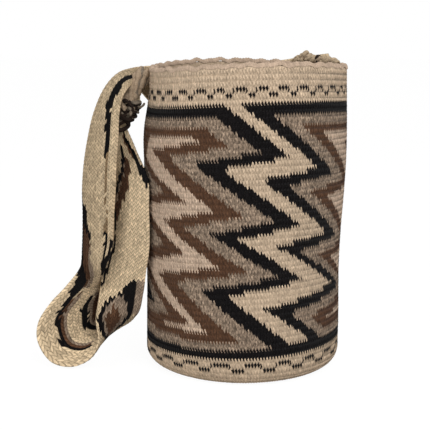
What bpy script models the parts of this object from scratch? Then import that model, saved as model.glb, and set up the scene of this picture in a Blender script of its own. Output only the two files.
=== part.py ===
"""Arhuaca mochila: a crocheted wool shoulder bag on its flat round base, with its woven strap laid
to the left. Metres, +Z up, the origin at the middle of the base, the front facing -Y, the strap's fall on -X.
"""

import math

import bmesh
import bpy
from mathutils import Vector

OBJECT_NAME = "arhuaca_mochila"

# Bag
HEIGHT = 0.290
WALL = 0.0040
FLOOR = 0.0040
BASE_CORNER = 0.016
INNER_CORNER = BASE_CORNER - WALL
RIM_ROUND = 0.0012
RIM_SCALLOP = 0.0010
SEGMENTS = 64
ROUNDS = 26
ROUND_RELIEF = 0.0008
BASE_RINGS = (0.030, 0.056)
INNER_LEVELS = (0.050, 0.100, 0.150, 0.200, 0.245)

# Half width of the standing bag at each height, on its left and on its right
LEFT_SIDE = ((0.020, 0.0957), (0.090, 0.0948), (0.150, 0.0957), (0.200, 0.0968), (0.232, 0.0977),
             (0.262, 0.0932), (0.290, 0.0918))
RIGHT_SIDE = ((0.020, 0.0932), (0.040, 0.0936), (0.095, 0.0926), (0.134, 0.0938), (0.160, 0.0958),
              (0.200, 0.0980), (0.232, 0.0982), (0.290, 0.0972))
SIDE_BLEND = 0.014
BLEND_SAMPLES = 7

# How far the rounds rise above level, at the rim and at the base
RIM_LEAN = (0.0025, 0.0030, math.radians(18))
BASE_LEAN = (0.0045, math.radians(100))

# Zigzag: its corners as (degrees round from the front, height in mm), down the bag
LEFT_ZIGZAG = ((-11, 257), (25, 208), (-12, 200), (33, 146), (-2, 136), (36, 94), (-9, 85), (31, 31))
RIGHT_ZIGZAG = ((-3, 257), (43, 197), (9, 189), (53, 136), (18, 128), (63, 84), (12, 71), (43, 35))
BACK_ZIGZAG = ((-110, 257), (-120, 227.5), (-81, 190.5), (-124, 184.5), (-83, 142.5), (-126, 127.5),
               (-79, 77.5), (-128, 69.5))
LEFT_STEP = (-16.5, 5.7)
RIGHT_STEP = (14.7, -6.5)
BACK_STEP = (16.0, -6.5)
# Each cell: its left zigzag, that one's step and turn, and its right zigzag's turn
CELLS = ((BACK_ZIGZAG, BACK_STEP, 0, 0), (RIGHT_ZIGZAG, RIGHT_STEP, 0, 136),
         (RIGHT_ZIGZAG, RIGHT_STEP, 136, 224))
PATTERN_TOP, PATTERN_BOTTOM = 257, 25
TOP_BAND, BOTTOM_BAND = 9.5, 8.5
BAND_NAMES = ("wool_black", "wool_grey", "wool_brown", "wool_beige")
SAWTOOTH_LEVELS = (0.266, 0.0165)
# A quad's corners are looked up this far out from its middle; steeper faces than this aren't wall
CORNER_SHARE = 2 / 3
WALL_SLOPE = 0.5

# Strap, a woven band
STRAP_THICKNESS = 0.0040
STRAP_RIB = 0.0005
STRAP_RINGS = 76
STRAP_POINTS_ACROSS = 7
STRAP_EDGE_THINNING = 0.35
STRAP_CLEARANCE = 0.0040
BACK_BULGE = 0.0006
LENGTH_SAMPLES = 1200
# Its free run: left edge, right edge, bulge of its middle and thickness, in mm
FREE_RUN = (
    ((-107, -5, 268), (-100, -5, 263), 0, 6.0),
    ((-113, -8, 254), (-101, -8, 250), 0, 8.0),
    ((-120, -8, 240), (-110, -8, 237), 0, 8.0),
    ((-123, -8, 230), (-113, -8, 230), 0, 7.0),
    ((-127, -2, 208), (-104, -14, 210), -3, 4.6),
    ((-128, -6, 182), (-91, -42, 186), -2, 4.0),
    ((-129, -8, 151), (-90, -44, 156), -2, 4.0),
    ((-131, -8, 116), (-90, -44, 122), -2, 4.0),
    ((-137, -8, 88), (-94, -40, 95), -1, 4.0),
    ((-141, -18, 66), (-97, -36, 74), -1, 4.0),
    ((-141, -30, 46), (-104, -26, 50), 0, 4.0),
    ((-140, -38, 27), (-126, 4, 30), 0, 4.0),
    ((-147, -42, 12), (-139, 6, 33), 1, 4.0),
    ((-164, -43, 3), (-146, 6, 36), 1, 4.0),
    ((-185, -42, 7), (-148, 6, 40), 1, 4.0),
    ((-198, -38, 25), (-146, 7, 47), 2, 4.0),
    ((-198, -34, 44), (-145, 5, 57), 3, 4.0),
    ((-186, -32, 63), (-141, 6, 70), 6, 4.0),
    ((-171, -28, 79), (-142, -2, 83), 8, 4.0),
    ((-158, -26, 97), (-131, -30, 103), 9, 4.2),
    ((-156, -20, 118), (-126, -32, 122), 9, 4.0),
    ((-155, -18, 147), (-124, -36, 150), 8, 4.0),
    ((-155, -18, 172), (-122, -38, 175), 8, 4.0),
    ((-153, -18, 196), (-121, -38, 198), 8, 4.0),
    ((-149, -18, 220), (-119, -36, 222), 8, 4.0),
    ((-143, -16, 244), (-118, -34, 244), 8, 4.0),
    ((-133, -10, 266), (-115, -31, 261), 7, 4.0),
    ((-121, 2, 280), (-109, -22, 271), 6, 4.0),
    ((-110, 15, 286), (-104, 8, 272), 3, 4.0),
    ((-99, 28, 287), (-102, 29, 262), 1, 4.0),
)
# Its run behind the bag: degrees round from the front, height of its middle and half its width, in mm
BACK_RUN = ((-118, 266, 21), (-138, 262, 26), (-160, 260, 27), (-180, 260, 27), (-200, 262, 27),
            (-218, 267, 27), (-236, 272, 26))
# Wool woven into it, later over earlier: (wool, ((station, place across, half width), ...))
STRAP_STROKES = (
    ("dark", ((28.6, -0.5, 0.0), (28.0, -0.5, 0.12), (27.0, -0.55, 0.18), (26.0, -0.6, 0.20),
              (25.3, -0.5, 0.20), (24.4, -0.55, 0.16), (23.5, -0.6, 0.13), (22.8, -0.62, 0.07))),
    ("grey", ((20.4, 0.45, 0.0), (19.6, 0.4, 0.15), (18.8, 0.3, 0.25), (18.0, 0.25, 0.15))),
    ("brown", ((21.2, 0.8, 0.0), (20.4, 0.75, 0.2), (19.4, 0.65, 0.3), (18.6, 0.5, 0.25), (18.0, 0.4, 0.0))),
    ("dark", ((21.9, 1.0, 0.0), (21.3, 0.95, 0.2), (20.6, 0.95, 0.15), (19.6, 0.95, 0.12),
              (19.2, 0.9, 0.15), (18.7, 0.72, 0.28), (18.0, 0.62, 0.22), (17.0, 0.5, 0.11),
              (16.0, 0.42, 0.07), (12.0, 0.42, 0.07))),
    ("dark", ((20.0, -0.85, 0.0), (19.4, -0.8, 0.25), (18.8, -0.8, 0.2), (18.0, -0.9, 0.1),
              (17.5, -0.9, 0.0))),
    ("grey", ((17.6, 0.26, 0.0), (17.0, 0.3, 0.1), (12.0, 0.27, 0.09))),
    ("dark", ((12.2, -0.6, 0.10), (13.0, -0.6, 0.12), (15.0, -0.5, 0.14), (16.3, -0.5, 0.10),
              (17.3, -0.5, 0.0))),
    ("grey", ((12.0, -0.8, 0.08), (16.3, -0.72, 0.10), (17.0, -0.7, 0.0))),
    ("brown", ((12.0, -0.98, 0.10), (16.5, -0.95, 0.15), (18.0, -0.95, 0.05))),
    ("dark", ((3.4, 0.5, 0.10), (4.2, 0.40, 0.12), (4.6, 0.45, 0.28), (5.2, 0.48, 0.40), (5.8, 0.65, 0.30),
              (6.4, 0.85, 0.15), (8.4, 0.98, 0.08))),
    ("grey", ((4.5, 0.45, 0.0), (5.2, 0.46, 0.26), (5.8, 0.65, 0.12), (6.1, 0.8, 0.0))),
    ("brown", ((4.7, 0.46, 0.0), (5.2, 0.46, 0.16), (5.7, 0.62, 0.0))),
    ("dark", ((2.9, -0.5, 0.20), (3.6, -0.62, 0.16), (4.4, -0.72, 0.12), (5.2, -0.88, 0.12),
              (5.5, -1.0, 0.0))),
    ("grey", ((8.2, -0.9, 0.1), (8.8, -0.85, 0.25), (9.6, -0.85, 0.25), (10.0, -1.0, 0.0))),
    ("dark", ((8.1, -0.55, 0.0), (8.5, -0.50, 0.25), (8.9, -0.3, 0.42), (9.3, 0.05, 0.75), (9.9, 0.12, 0.85),
              (10.6, 0.2, 0.65), (11.4, 0.2, 0.0))),
    ("grey", ((8.9, -0.1, 0.0), (9.3, 0.05, 0.45), (9.9, 0.12, 0.62), (10.6, 0.2, 0.35), (11.0, 0.2, 0.0))),
    ("brown", ((9.3, 0.12, 0.0), (9.9, 0.18, 0.42), (10.5, 0.2, 0.22), (10.8, 0.2, 0.0))),
)

# Yarn that fixes the strap's two ends
LASHING_SPAN = (0.012, 0.045)
LASHING_RINGS = 9
LASHING_SIDES = 14
LASHING_THICKNESS = 0.0035
LASHING_SWELL = 0.0012
LASHING_DEPTH = 0.625
LASHING_GAP = 0.0018
STITCH_ANGLES = (-206, -239)
STITCH_COUNT = 9
STITCH_RADIUS = 0.0040
STITCH_SWELL = 0.0011
STITCH_HEIGHT = HEIGHT + 0.0055
STITCH_INSET = 0.0035

COLOURS = {
    "wool_cream": (0.52, 0.41, 0.28),
    "wool_black": (0.008, 0.007, 0.008),
    "wool_grey": (0.20, 0.155, 0.125),
    "wool_brown": (0.080, 0.045, 0.025),
    "wool_beige": (0.42, 0.315, 0.235),
    "strap_wool": (0.40, 0.31, 0.19),
    "strap_dark": (0.010, 0.008, 0.008),
    "strap_grey": (0.17, 0.14, 0.11),
    "strap_brown": (0.045, 0.024, 0.014),
    "lashing_wool": (0.055, 0.040, 0.032),
    "stitch_wool": (0.30, 0.24, 0.16),
}


def clear_scene():
    for item in list(bpy.data.objects):
        bpy.data.objects.remove(item, do_unlink=True)


def collection(name):
    group = bpy.data.collections.new(name)
    bpy.context.scene.collection.children.link(group)
    return group


def wool(name):
    material = bpy.data.materials.new(name)
    material.use_nodes = True
    shader = material.node_tree.nodes["Principled BSDF"]
    shader.inputs["Base Color"].default_value = (*COLOURS[name], 1)
    shader.inputs["Roughness"].default_value = 0.95
    shader.inputs["Metallic"].default_value = 0
    return material


def interpolate(pairs, x):
    """The value at x along (x, value) pairs in rising order, held level past each end."""
    if x <= pairs[0][0]:
        return pairs[0][1]
    for (x0, y0), (x1, y1) in zip(pairs, pairs[1:]):
        if x <= x1:
            return y0 + (y1 - y0) * (x - x0) / (x1 - x0)
    return pairs[-1][1]


def side_radius(side, z):
    """One side's radius at a height, with the corners between its points softened."""
    steps = [SIDE_BLEND * (2 * i / (BLEND_SAMPLES - 1) - 1) for i in range(BLEND_SAMPLES)]
    return sum(interpolate(side, z + step) for step in steps) / BLEND_SAMPLES


def wall_radius(angle, z):
    """The wall's outer radius; the angle runs from the front, and +90 degrees is the right side."""
    left, right = side_radius(LEFT_SIDE, z), side_radius(RIGHT_SIDE, z)
    return (left + right) / 2 + (right - left) / 2 * math.sin(angle)


def mean_radius(z):
    return wall_radius(0, z)


def lean(angle, z):
    """How far a round stands above level at this angle."""
    once, twice, turn = RIM_LEAN
    at_rim = twice * math.cos(2 * (angle - turn)) + once * math.cos(angle - turn)
    at_base = BASE_LEAN[0] * math.cos(angle - BASE_LEAN[1])
    share = min(max(z / HEIGHT, 0), 1)
    fade = min(1, max(0, (z - BASE_CORNER / 2) / (2 * BASE_CORNER)))
    return share * at_rim + (1 - share) * at_base * fade


def bag_profile():
    """(radius, height) points: from the floor's middle up the inside, over the rim and down the outside."""
    points = [(0, FLOOR), (BASE_RINGS[0], FLOOR), (BASE_RINGS[1], FLOOR)]
    inner = mean_radius(BASE_CORNER) - WALL
    for quarter in (0, 0.5, 1):
        turn = quarter * math.pi / 2
        points.append((inner - INNER_CORNER * (1 - math.sin(turn)),
                       FLOOR + INNER_CORNER * (1 - math.cos(turn))))
    points += [(mean_radius(z) - WALL, z) for z in INNER_LEVELS]
    rim = mean_radius(HEIGHT)
    points += [(rim - WALL, HEIGHT - RIM_ROUND), (rim - WALL / 2, HEIGHT), (rim, HEIGHT - RIM_ROUND)]
    lowest, highest = BASE_CORNER, HEIGHT - 3 * RIM_ROUND
    for step in range(2 * ROUNDS + 1):
        z = highest - (highest - lowest) * step / (2 * ROUNDS)
        points.append((mean_radius(z) + (ROUND_RELIEF if step % 2 else -ROUND_RELIEF) / 2, z))
    outer = mean_radius(BASE_CORNER)
    for third in (2 / 3, 1 / 3, 0):
        turn = third * math.pi / 2
        points.append((outer - BASE_CORNER * (1 - math.sin(turn)), BASE_CORNER * (1 - math.cos(turn))))
    points += [(BASE_RINGS[1], 0), (BASE_RINGS[0], 0), (0, 0)]
    return points


def turned(name, points):
    """A closed profile turned about Z, as a plain mesh."""
    mesh = bpy.data.meshes.new(name + "_profile")
    mesh.from_pydata([(r, 0, z) for r, z in points], [(i, i + 1) for i in range(len(points) - 1)], [])
    helper = bpy.data.objects.new(name + "_profile", mesh)
    bpy.context.scene.collection.objects.link(helper)
    screw = helper.modifiers.new("turn", "SCREW")
    screw.steps = screw.render_steps = SEGMENTS
    screw.use_merge_vertices = True
    screw.merge_threshold = 0.0001
    solid = bpy.data.meshes.new_from_object(helper.evaluated_get(bpy.context.evaluated_depsgraph_get()))
    bpy.data.objects.remove(helper, do_unlink=True)
    bpy.data.meshes.remove(mesh)
    solid.name = name
    return solid


def front_angle(point):
    """Angle round from the front (-Y), growing towards the right (+X)."""
    return math.atan2(point[0], -point[1])


def soften(mesh):
    """Gives the turned bag its uneven sides, its leaning rounds and its scalloped rim."""
    for vertex in mesh.vertices:
        x, y, z = vertex.co
        if math.hypot(x, y) < BASE_CORNER:
            continue
        angle = front_angle((x, y))
        scale = wall_radius(angle, z) / mean_radius(z)
        rise = lean(angle, z) if z > FLOOR else 0
        if z > HEIGHT - RIM_ROUND / 2:
            rise += RIM_SCALLOP * math.cos(angle * SEGMENTS / 2)
        vertex.co = (x * scale, y * scale, z + rise)


def steps_from(zigzag, step, angle, height):
    """How many band widths a place lies from a zigzag, counted along the bands' common shift."""
    side = angle * step[1] - height * step[0]
    corners = [(a * step[1] - h * step[0], a) for a, h in zigzag]
    corners.sort()
    first, second = corners[0], corners[1]
    last, before = corners[-1], corners[-2]
    if side < first[0]:
        place = first[1] + (second[1] - first[1]) * (side - first[0]) / (second[0] - first[0])
    elif side > last[0]:
        place = last[1] + (last[1] - before[1]) * (side - last[0]) / (last[0] - before[0])
    else:
        place = interpolate(corners, side)
    return (angle - place) / step[0]


def band_at(angle, height):
    """The wool at a place on the wall, in degrees and mm: cream outside the cells, nested bands inside."""
    depth = -1
    for left_zigzag, left_step, left_turn, right_turn in CELLS:
        for turn in (-360, 0, 360):
            here = angle + turn
            depth = max(depth, min(steps_from(left_zigzag, left_step, here - left_turn, height),
                                   steps_from(LEFT_ZIGZAG, LEFT_STEP, here - right_turn, height),
                                   (PATTERN_TOP - height) / TOP_BAND,
                                   (height - PATTERN_BOTTOM) / BOTTOM_BAND))
    if depth <= 0:
        return "wool_cream"
    return BAND_NAMES[min(int(depth), len(BAND_NAMES) - 1)]


def place_of(point):
    """A point on the wall as (degrees, mm) of the unleaning pattern."""
    angle = front_angle(point)
    height = point[2] - lean(angle, point[2])
    return math.degrees(angle), height * 1000


def split_along_pattern(mesh):
    """Splits each outer quad along the diagonal that parts two wools better, and gives each half its wool."""
    names = list(BAND_NAMES) + ["wool_cream"]
    work = bmesh.new()
    work.from_mesh(mesh)
    for face in list(work.faces):
        middle = face.calc_center_median()
        outward = face.normal.x * middle.x + face.normal.y * middle.y > 0
        face.material_index = names.index("wool_cream")
        if len(face.verts) != 4 or not outward or abs(face.normal.z) > WALL_SLOPE:
            continue
        corners = list(face.verts)
        wools = [band_at(*place_of(middle.lerp(corner.co, CORNER_SHARE))) for corner in corners]
        start = 1 if wools[0] != wools[2] else 0
        bmesh.utils.face_split(face, corners[start], corners[start + 2])
    work.faces.ensure_lookup_table()
    for face in work.faces:
        middle = face.calc_center_median()
        outward = face.normal.x * middle.x + face.normal.y * middle.y > 0
        if len(face.verts) != 3 or not outward or abs(face.normal.z) > WALL_SLOPE:
            continue
        angle, height = place_of(middle)
        face.material_index = names.index(band_at(angle, height))
        half_round = (HEIGHT - BASE_CORNER) / ROUNDS / 4
        if any(abs(height / 1000 - level) < half_round and middle.z > level for level in SAWTOOTH_LEVELS):
            face.material_index = names.index("wool_black")
    work.to_mesh(mesh)
    work.free()


def add_object(name, mesh, materials, group):
    for material in materials:
        mesh.materials.append(material)
    item = bpy.data.objects.new(name, mesh)
    group.objects.link(item)
    mesh.shade_smooth()
    return item


def make_body(group):
    mesh = turned("body", bag_profile())
    soften(mesh)
    split_along_pattern(mesh)
    return add_object("body", mesh, [wool(name) for name in (*BAND_NAMES, "wool_cream")], group)


def around(angle_degrees, radius, z):
    angle = math.radians(angle_degrees)
    return Vector((radius * math.sin(angle), -radius * math.cos(angle), z))


def strap_stations():
    """(left edge, right edge, bulge, thickness) along the whole strap, in metres."""
    stations = []
    for left, right, bulge, thick in FREE_RUN:
        stations.append((Vector(left) / 1000, Vector(right) / 1000, bulge / 1000, thick / 1000))
    for angle, middle, half in BACK_RUN:
        edges = []
        for z in ((middle + half) / 1000, (middle - half) / 1000):
            radius = wall_radius(math.radians(angle), z) + STRAP_CLEARANCE
            edges.append(around(angle, radius, z))
        stations.append((*edges, BACK_BULGE, STRAP_THICKNESS))
    return stations


def curve_through(values, t):
    """Catmull-Rom value at t from 0 to len(values) - 1, for numbers or vectors."""
    i = min(int(t), len(values) - 2)
    f = t - i
    p1, p2 = values[i], values[i + 1]
    p0 = values[i - 1] if i > 0 else p1 * 2 - p2
    p3 = values[i + 2] if i + 2 < len(values) else p2 * 2 - p1
    return (p1 * 2 + (p2 - p0) * f + (p0 * 2 - p1 * 5 + p2 * 4 - p3) * f * f
            + (p1 * 3 - p0 - p2 * 3 + p3) * f * f * f) * 0.5


def even_steps(stations, count):
    """Parameters along the stations that lie an equal length apart on the middle line."""
    middles = [(a + b) / 2 for a, b, _, _ in stations]
    fine = [(len(middles) - 1) * i / LENGTH_SAMPLES for i in range(LENGTH_SAMPLES + 1)]
    points = [curve_through(middles, t) for t in fine]
    lengths = [0]
    for before, after in zip(points, points[1:]):
        lengths.append(lengths[-1] + (after - before).length)
    pairs = list(zip(lengths, fine))
    return [interpolate(pairs, lengths[-1] * i / (count - 1)) for i in range(count)]


def strap_frames(count):
    """(middle, half width, unit normal, bulge, thickness) at even steps along the strap, and the stations."""
    stations = strap_stations()
    columns = list(zip(*stations))
    times = even_steps(stations, count)
    samples = [[curve_through(column, t) for column in columns] for t in times]
    frames = []
    for i, (left, right, bulge, thick) in enumerate(samples):
        before, after = samples[max(i - 1, 0)], samples[min(i + 1, count - 1)]
        along = (after[0] + after[1]) - (before[0] + before[1])
        half = (left - right) / 2
        normal = along.cross(half).normalized()
        frames.append(((left + right) / 2, half, normal, bulge, thick))
    return frames, times


def loft(rings, closed_ends):
    """Faces between rings of equal counts; the end rings are capped, or else the last joins the first."""
    mesh = bpy.data.meshes.new("loft")
    count = len(rings[0])
    vertices = [point for ring in rings for point in ring]
    faces = []
    for i in range(len(rings) if not closed_ends else len(rings) - 1):
        start, after = i * count, (i + 1) % len(rings) * count
        for j in range(count):
            following = (j + 1) % count
            faces.append((start + j, start + following, after + following, after + j))
    if closed_ends:
        faces.append(tuple(reversed(range(count))))
        faces.append(tuple(range(len(vertices) - count, len(vertices))))
    mesh.from_pydata(vertices, [], faces)
    return mesh


def strap_section(frame):
    """One ring of the band: over one face from edge to edge and back over the other, ribbed lengthwise."""
    middle, half, normal, bulge, thick = frame
    ring = []
    across = [2 * i / (STRAP_POINTS_ACROSS - 1) - 1 for i in range(STRAP_POINTS_ACROSS)]
    for face, order in ((-1, across), (1, reversed(across))):
        for i, u in enumerate(order):
            rib = STRAP_RIB * (1 if i % 2 else -1)
            lift = thick / 2 * (1 - STRAP_EDGE_THINNING * u ** 4) + rib
            ring.append(middle + half * u + normal * (bulge * (1 - u * u) + face * lift))
    return ring


def strap_wool(station, across):
    """The wool at a station and a place across the strap, where 1 is its left edge."""
    found = "strap_wool"
    for name, places in STRAP_STROKES:
        middles = sorted((place, middle) for place, middle, _ in places)
        halves = sorted((place, half) for place, _, half in places)
        if middles[0][0] <= station <= middles[-1][0]:
            if abs(across - interpolate(middles, station)) < interpolate(halves, station):
                found = "strap_" + name
    return found


def make_strap(group):
    frames, stations = strap_frames(STRAP_RINGS)
    mesh = loft([strap_section(frame) for frame in frames], closed_ends=True)
    names = ("strap_wool", "strap_dark", "strap_grey", "strap_brown")
    points = 2 * STRAP_POINTS_ACROSS
    for index, face in enumerate(mesh.polygons):
        ring, column = divmod(index, points)
        column = min(column, points - 1 - column)
        across = (2 * column + 1) / (STRAP_POINTS_ACROSS - 1) - 1
        if ring < STRAP_RINGS - 1:
            station = (stations[ring] + stations[ring + 1]) / 2
            face.material_index = names.index(strap_wool(station, across))
    return add_object("strap", mesh, [wool(name) for name in names], group)


def make_left_lashing(group):
    """Yarn wound round the strap's gathered end: a sleeve with a swell for each turn."""
    frames, _ = strap_frames(STRAP_RINGS * 4)
    last = len(frames) - 1
    rings = []
    for direction, growth in ((1, LASHING_GAP + LASHING_THICKNESS), (-1, LASHING_GAP)):
        shares = [LASHING_SPAN[0] + (LASHING_SPAN[1] - LASHING_SPAN[0]) * i / (LASHING_RINGS - 1)
                  for i in range(LASHING_RINGS)]
        for i, share in enumerate(shares[::direction]):
            middle, half, normal, _, thick = frames[round(share * last)]
            swell = LASHING_SWELL * (i % 2) if direction == 1 else 0
            wide = half.length + growth + swell
            deep = thick * LASHING_DEPTH + growth + swell
            ring = []
            for side in range(LASHING_SIDES):
                turn = 2 * math.pi * side / LASHING_SIDES
                across = half.normalized() * wide * math.cos(turn)
                ring.append(middle + across + normal * deep * math.sin(turn))
            rings.append(ring)
    mesh = loft(rings, closed_ends=False)
    return add_object("left_strap_lashing", mesh, [wool("lashing_wool")], group)


def make_right_lashing(group):
    """The roll of stitches that holds the strap's other end on the rim at the back right."""
    curve = bpy.data.curves.new("right_strap_lashing", "CURVE")
    curve.dimensions = "3D"
    curve.bevel_depth = STITCH_RADIUS
    curve.bevel_resolution = 2
    curve.use_fill_caps = True
    spline = curve.splines.new("POLY")
    count = 2 * STITCH_COUNT + 1
    spline.points.add(count - 1)
    for i, point in enumerate(spline.points):
        angle = STITCH_ANGLES[0] + (STITCH_ANGLES[1] - STITCH_ANGLES[0]) * i / (count - 1)
        radius = wall_radius(math.radians(angle), HEIGHT) - STITCH_INSET
        point.co = (*around(angle, radius, STITCH_HEIGHT), 1)
        point.radius = 1 + STITCH_SWELL / STITCH_RADIUS * (i % 2)
    curve.materials.append(wool("stitch_wool"))
    item = bpy.data.objects.new("right_strap_lashing", curve)
    group.objects.link(item)
    return item


def main():
    clear_scene()
    group = collection(OBJECT_NAME)
    make_body(group)
    make_strap(group)
    make_left_lashing(group)
    make_right_lashing(group)


main()
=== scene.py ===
"""The mochila's looks: crocheted stitches, the strap's ribs, lashings, wools, light and camera."""

import math

import bpy
import numpy as np
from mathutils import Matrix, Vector


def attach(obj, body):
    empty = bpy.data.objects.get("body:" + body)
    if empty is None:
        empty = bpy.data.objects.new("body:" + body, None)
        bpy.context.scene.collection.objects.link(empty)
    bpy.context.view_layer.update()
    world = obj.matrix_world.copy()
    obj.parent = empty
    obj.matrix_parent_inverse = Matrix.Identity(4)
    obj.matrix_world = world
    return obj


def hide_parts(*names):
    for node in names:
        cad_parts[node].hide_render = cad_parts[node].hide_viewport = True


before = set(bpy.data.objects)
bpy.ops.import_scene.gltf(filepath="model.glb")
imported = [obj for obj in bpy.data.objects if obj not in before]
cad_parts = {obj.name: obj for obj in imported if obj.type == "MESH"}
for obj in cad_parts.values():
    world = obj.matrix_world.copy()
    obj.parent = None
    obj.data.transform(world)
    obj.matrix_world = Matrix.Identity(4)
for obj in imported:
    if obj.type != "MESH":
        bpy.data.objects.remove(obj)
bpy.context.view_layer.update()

# The bag's shape, close to the part's source
HEIGHT = 0.290
WALL = 0.0040
FLOOR = 0.0040
BASE_CORNER = 0.016
LEFT_SIDE = ((0.020, 0.0957), (0.090, 0.0948), (0.150, 0.0957), (0.200, 0.0968), (0.232, 0.0975),
             (0.262, 0.0914),
             (0.290, 0.0905))
RIGHT_SIDE = ((0.020, 0.0932), (0.040, 0.0936), (0.095, 0.0926), (0.134, 0.0938), (0.160, 0.0958),
              (0.200, 0.0980),
              (0.232, 0.0982), (0.290, 0.0972))
SIDE_BLEND = 0.014
BLEND_SAMPLES = 7
RIM_LEAN = (0.0025, 0.0030, math.radians(18))
BASE_LEAN = (0.0045, math.radians(100))

# Its pattern: zigzag corners in degrees round from the front and mm of height, and the bands' common shifts
LEFT_ZIGZAG = ((-11, 257), (25, 208), (-12, 200), (33, 146), (-2, 136), (36, 94), (-9, 85), (31, 31))
RIGHT_ZIGZAG = ((-3, 257), (43, 197), (9, 189), (53, 136), (18, 128), (63, 84), (12, 71), (43, 35))
BACK_ZIGZAG = ((-110, 257), (-120, 227.5), (-81, 190.5), (-124, 184.5), (-83, 142.5), (-126, 127.5),
               (-79, 77.5),
               (-128, 69.5))
LEFT_STEP = (-16.5, 5.7)
RIGHT_STEP = (14.7, -6.5)
BACK_STEP = (16.0, -6.5)
# Each cell: its left zigzag, that one's step and turn, and its right zigzag's turn
CELLS = ((BACK_ZIGZAG, BACK_STEP, 0, 0), (RIGHT_ZIGZAG, RIGHT_STEP, 0, 136),
         (RIGHT_ZIGZAG, RIGHT_STEP, 136, 224))
PATTERN_TOP, PATTERN_BOTTOM = 257, 25
TOP_BAND, BOTTOM_BAND = 8.4, 8.2
# The black rounds' heights: at the top, and at the bottom by degrees round from the front
TOP_BLACK = 11.0
BOTTOM_BLACK = ((-140, 8.5), (-105, 16.0), (-60, 13.0), (-25, 9.0))
CREAM, BLACK, GREY, BROWN, BEIGE = range(5)

# Crochet: stitches round the bag and the height of a round
STITCHES = 204
ROUND = 0.0027
COLUMN_PLACES = (0.0, 0.28, 0.53, 0.78)
COLUMN_SLANT = (-0.45, 0.75, 0.15, -0.65)
COLUMN_RELIEF = (-0.00018, 0.00006, 0.00018, 0.00004)
# Painted shade on the wall's stitches, by part of a stitch and half of a round: the groove between stitches
# darker, each round's lower half darker and its upper half lighter
COLUMN_PAINTED_SHADE = (0.88, 1.03, 1.05, 0.99)
ROUND_RELIEF = (-0.00014, 0.00012)
ROUND_PAINTED_SHADE = (0.96, 1.03)
ROUND_STAGGER = 0.5
# The outer profile: its rounded corner, where its last round ends, its length and how many rounds that takes
CORNER_LENGTH = math.pi / 2 * BASE_CORNER
WALL_TOP = HEIGHT - 0.0012
WALL_LENGTH = CORNER_LENGTH + WALL_TOP - BASE_CORNER
WALL_ROUNDS = round(WALL_LENGTH / ROUND)
WALL_UNEVEN = 0.00008
WALL_SWELL = 0.0005
WALL_SPECKLE = 1.1
INSIDE_RELIEF = (0.0003, 0.0002)
INSIDE_FLOOR_RINGS = 31
RIM_RINGS = 9
RIM_OVERLAP = 0.15
RIM_SLANT = 0.9
RIM_BEAD = (0.00025, 0.00075)
RIM_BUMPS = (0.0009, 0.0006)
BASE_ROUNDS = 29
BASE_SWIRL = 0.02
BASE_RELIEF = (0.0006, 0.0003)
# Scalloped lines: their height, how many scallops go round the bag, and the share of each that stands up
LINES = ((0.2715, 31, 0.42), (0.0215, 20, 0.45))
LINE_PARTS = (1, 2)
LINE_SLOPE = 0.8

# Strap: its stations, close to the part's source: two edges in mm, bulge and thickness
STRAP_THICKNESS = 0.0040
STRAP_CLEARANCE = 0.0040
FREE_RUN = (
    ((-107, -5, 268), (-100, -5, 263), 0, 6.0),
    ((-113, -8, 254), (-101, -8, 250), 0, 8.0),
    ((-120, -8, 240), (-110, -8, 237), 0, 8.0),
    ((-123, -8, 230), (-113, -8, 230), 0, 7.0),
    ((-127, -2, 208), (-104, -14, 210), -3, 4.6),
    ((-128, -6, 182), (-91, -42, 186), -2, 4.0),
    ((-129, -8, 151), (-90, -44, 156), -2, 4.0),
    ((-131, -8, 116), (-90, -44, 122), -2, 4.0),
    ((-138, -9, 88), (-94, -40, 95), -1, 4.0),
    ((-141, -18, 66), (-97, -36, 74), -1, 4.0),
    ((-143, -30, 46), (-104, -26, 50), 0, 4.0),
    ((-140, -38, 27), (-126, 4, 30), 0, 4.0),
    ((-147, -42, 12), (-139, 6, 33), 1, 4.0),
    ((-164, -43, 3), (-146, 6, 36), 1, 4.0),
    ((-185, -42, 7), (-148, 6, 40), 1, 4.0),
    ((-198, -38, 25), (-146, 7, 47), 2, 4.0),
    ((-198, -34, 44), (-145, 5, 57), 3, 4.0),
    ((-186, -32, 63), (-141, 6, 70), 6, 4.0),
    ((-171, -28, 79), (-141, -1, 83), 8, 4.0),
    ((-158, -26, 97), (-131, -30, 103), 9, 4.2),
    ((-156, -20, 118), (-126, -32, 122), 9, 4.0),
    ((-155, -18, 147), (-124, -36, 150), 8, 4.0),
    ((-155, -18, 172), (-122, -38, 175), 8, 4.0),
    ((-153, -18, 196), (-121, -38, 198), 8, 4.0),
    ((-149, -18, 220), (-119, -36, 222), 8, 4.0),
    ((-143, -16, 244), (-118, -34, 244), 8, 4.0),
    ((-133, -10, 266), (-115, -31, 261), 7, 4.0),
    ((-121, 2, 280), (-109, -22, 271), 6, 4.0),
    ((-110, 15, 286), (-104, 8, 272), 3, 4.0),
    ((-99, 28, 287), (-102, 29, 262), 1, 4.0),
)
BACK_RUN = ((-118, 266, 21), (-138, 262, 26), (-160, 260, 27), (-180, 260, 27), (-200, 262, 27),
            (-218, 267, 27),
            (-236, 272, 26))
STRAP_RIBS = 20
STRAP_STITCH = 0.0038
# Painted shade on the strap: a dark gap at the start of each stitch, and each rib lighter on one side and
# darker on the other
STRAP_STITCH_PAINTED_SHADE = (0.64, 1.10, 1.06)
STRAP_RIB_SIDE_PAINTED_SHADE = (0.84, 1.10)
STRAP_SLANT = (0.0, 0.5, 1.0, 0.5)
STRAP_RELIEF = (0.00060, -0.00070)
STRAP_STITCH_RELIEF = 0.00025
STRAP_RAGGED = (0.020, 0.03)

# Lashings: the span of the left one along the strap, as shares of its length, and its strands, knots and
# tail in mm. Then the right one's roll and knots
LASHING_START, LASHING_END = 0.014, 0.043
LEFT_WRAPS = 12
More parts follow.
